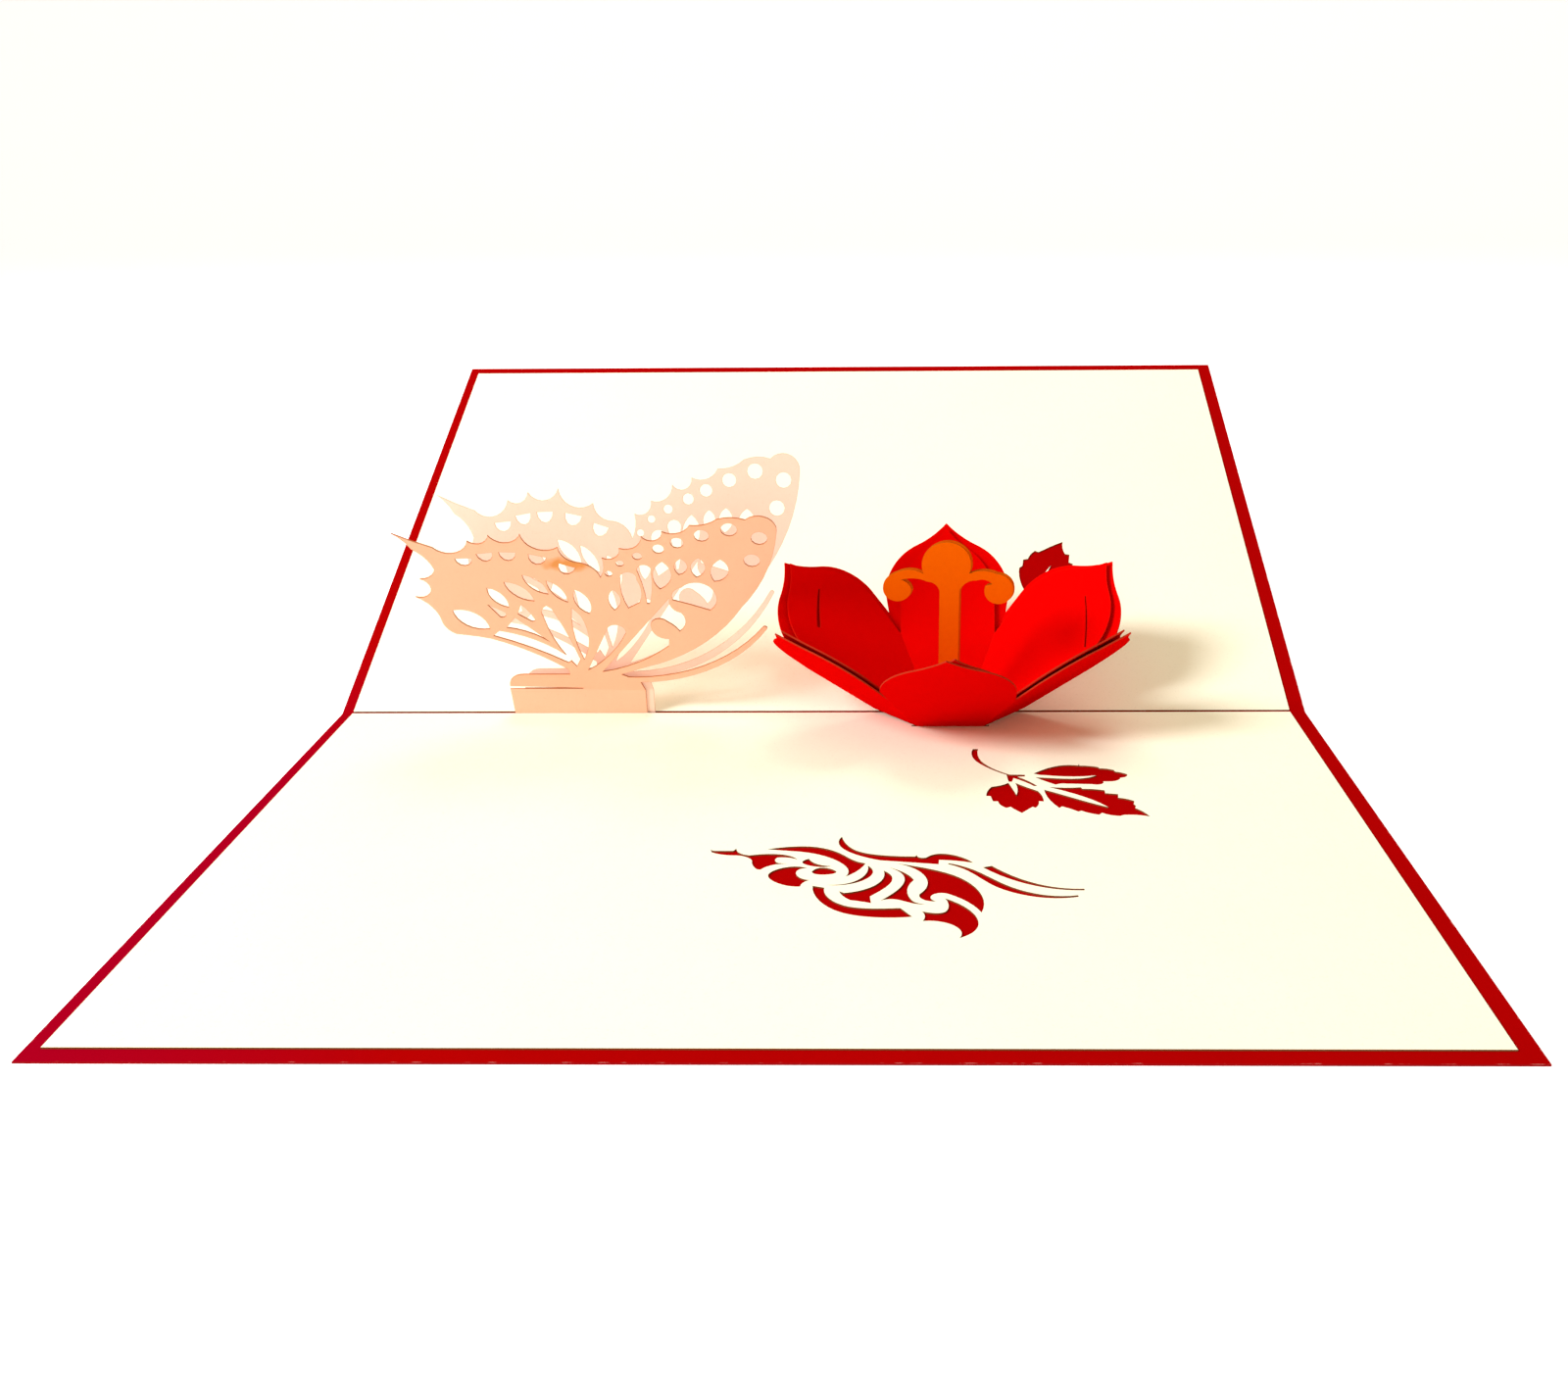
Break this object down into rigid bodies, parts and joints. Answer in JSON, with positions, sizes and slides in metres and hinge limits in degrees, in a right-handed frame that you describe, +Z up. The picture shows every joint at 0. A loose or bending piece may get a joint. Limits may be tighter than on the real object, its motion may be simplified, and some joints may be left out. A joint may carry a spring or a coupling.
{
  "type": "pop up card",
  "caption": "Folded card that opens to a standing paper butterfly and flower, with leaf and butterfly cut-outs.",
  "frame": {"origin": "under the middle of the card's outline, on the surface that the front leaf lies on", "axes": "+X along the fold to the reader's right, +Y from the front leaf to the raised back leaf, +Z up"},
  "size_m": [0.2, 0.2898, 0.0545],
  "materials": {
    "cover_card": "matt red card",
    "liner_paper": "matt cream paper",
    "butterfly_paper": "matt peach paper",
    "flower_paper": "matt bright red paper",
    "stamen_paper": "matt orange gold paper"
  },
  "bodies": {
    "root": {"cover": "cover_card", "liner_front": "liner_paper", "liner_back": "liner_paper", "butterfly_front_wing": "butterfly_paper", "butterfly_back_wing": "butterfly_paper", "flower_outer_front": "flower_paper", "flower_outer_back": "flower_paper", "flower_inner_front": "flower_paper", "flower_inner_back": "flower_paper", "stamen_front": "stamen_paper", "stamen_back": "stamen_paper"}
  },
  "joints": []
}
